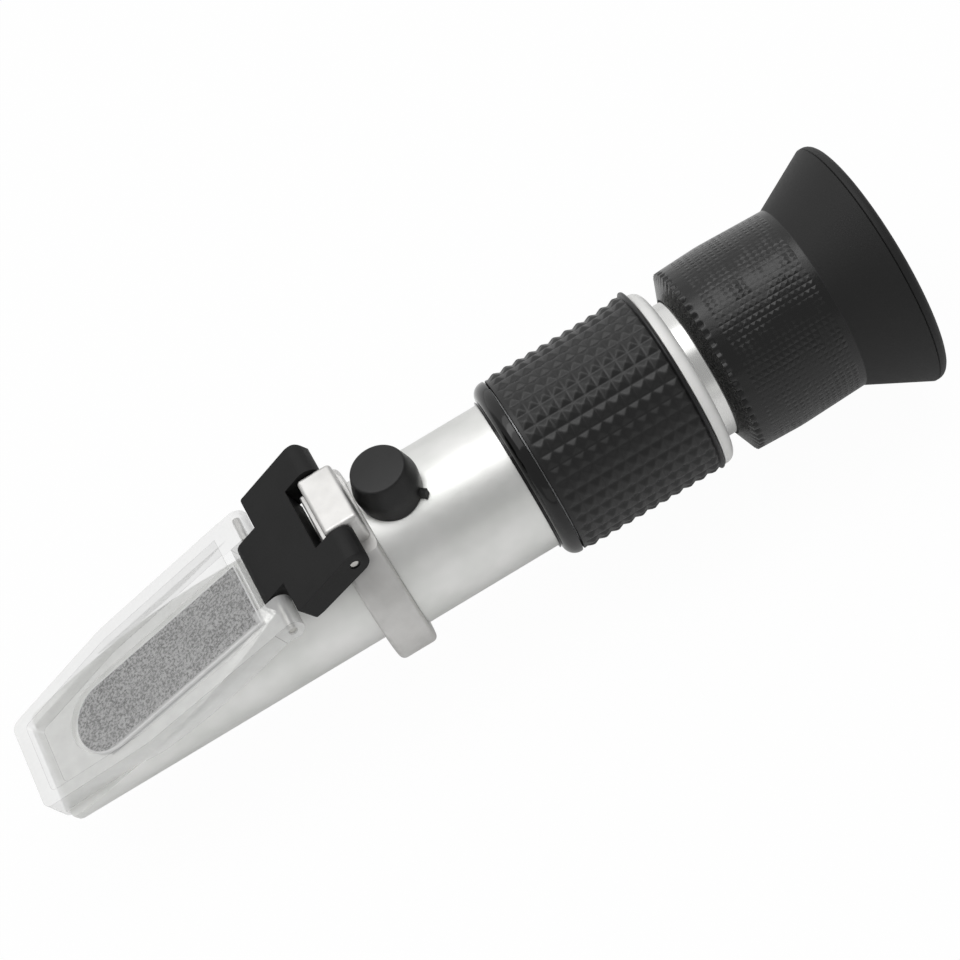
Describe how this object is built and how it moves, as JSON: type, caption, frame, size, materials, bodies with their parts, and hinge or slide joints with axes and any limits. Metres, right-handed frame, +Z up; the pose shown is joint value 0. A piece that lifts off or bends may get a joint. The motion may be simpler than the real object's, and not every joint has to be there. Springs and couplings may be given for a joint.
{
  "type": "hand refractometer",
  "caption": "Hand-held refractometer: round prism housing under a hinged clear cover, tube with capped adjusting screw, knurled grip, focusing eyepiece with flared rubber cup.",
  "frame": {"origin": "under the middle of the length, at the height of the eyecup rim's lowest point", "axes": "+X along the optical axis towards the eyecup, +Z up through the cover's hinge, +Y to the left seen from the prism end"},
  "size_m": [0.1518, 0.0414, 0.0415],
  "materials": {
    "housing_metal": "satin silver",
    "prism_glass": "polished optical glass",
    "seal_rubber": "matte black",
    "baffle_black": "flat black",
    "collar_metal": "satin silver",
    "tube_metal": "satin silver",
    "bush_brass": "turned",
    "screw_steel": "turned",
    "cap_rubber": "satin black",
    "carriage_black": "black anodised",
    "lens_glass": "polished optical glass",
    "bimetal": "rolled strip",
    "front_ring_black": "glossy black",
    "sleeve_metal": "plain turned",
    "grip_rubber": "knurled matte black",
    "ring_metal": "satin silver",
    "reticle_glass": "clear glass",
    "barrel_metal": "bright turned",
    "cell_black": "flat black",
    "pin_steel": "drawn",
    "eyecup_rubber": "satin black, fine cross-hatch",
    "bracket_black": "matte black",
    "cover_clear": "clear moulded",
    "pad_frosted": "frosted, grained"
  },
  "bodies": {
    "main_body": {"prism_housing": "housing_metal", "measuring_prism": "prism_glass", "prism_seal": "seal_rubber", "light_baffle": "baffle_black", "hinge_collar": "collar_metal", "barrel_tube": "tube_metal", "screw_bush": "bush_brass", "strip_clamp": "bush_brass", "front_ring": "front_ring_black", "grip_sleeve": "sleeve_metal", "rubber_grip": "grip_rubber", "rear_ring": "ring_metal", "focus_seal": "seal_rubber", "reticle_ring": "carriage_black", "reticle_disc": "reticle_glass"},
    "bracket": {"hinge_bracket": "bracket_black", "bracket_pin": "pin_steel", "plate_pin": "pin_steel"},
    "cover": {"cover_plate": "cover_clear", "frosted_pad": "pad_frosted"},
    "cap": {"screw_cap": "cap_rubber"},
    "screw": {"calibration_screw": "screw_steel"},
    "objective": {"lens_carriage": "carriage_black", "objective_lens": "lens_glass", "objective_retainer": "carriage_black", "bimetal_strip": "bimetal"},
    "eyepiece_cell": {"lens_cell": "cell_black", "guide_key": "pin_steel", "field_lens": "lens_glass", "lens_spacer": "carriage_black", "eye_lens": "lens_glass", "lens_retainer": "cell_black"},
    "focus_ring": {"focus_barrel": "barrel_metal", "eyecup": "eyecup_rubber"}
  },
  "joints": [
    {"name": "bracket_hinge", "type": "hinge", "parent": "main_body", "child": "bracket", "pos_m": [-0.01622, 0, 0.03785], "axis": [0, 1, 0], "range_deg": [0, 115]},
    {"name": "plate_hinge", "type": "hinge", "parent": "bracket", "child": "cover", "pos_m": [-0.02919, 0, 0.03188], "axis": [0, 1, 0], "range_deg": [0, 70]},
    {"name": "cap_lift", "type": "slide", "parent": "main_body", "child": "cap", "axis": [0, 0, 1], "range_m": [0, 0.01]},
    {"name": "calibration_turn", "type": "hinge", "parent": "main_body", "child": "screw", "pos_m": [-0.00641, 0, 0.03425], "axis": [0, 0, 1], "range_deg": [-360, 360]},
    {"name": "objective_slide", "type": "slide", "parent": "main_body", "child": "objective", "axis": [0, 0, 1], "range_m": [-0.0003, 0.0003]},
    {"name": "focus_slide", "type": "slide", "parent": "main_body", "child": "eyepiece_cell", "axis": [1, 0, 0], "range_m": [-0.0015, 0.0045]},
    {"name": "focus_turn", "type": "hinge", "parent": "eyepiece_cell", "child": "focus_ring", "pos_m": [0.04384, 0, 0.02075], "axis": [1, 0, 0], "range_deg": [-120, 360]}
  ],
  "couplings": [
    {"joint": "focus_slide", "follows": "focus_turn", "m_per_rad": 0.0007162},
    {"joint": "calibration_turn", "follows": "objective_slide", "rad_per_m": 20944}
  ]
}
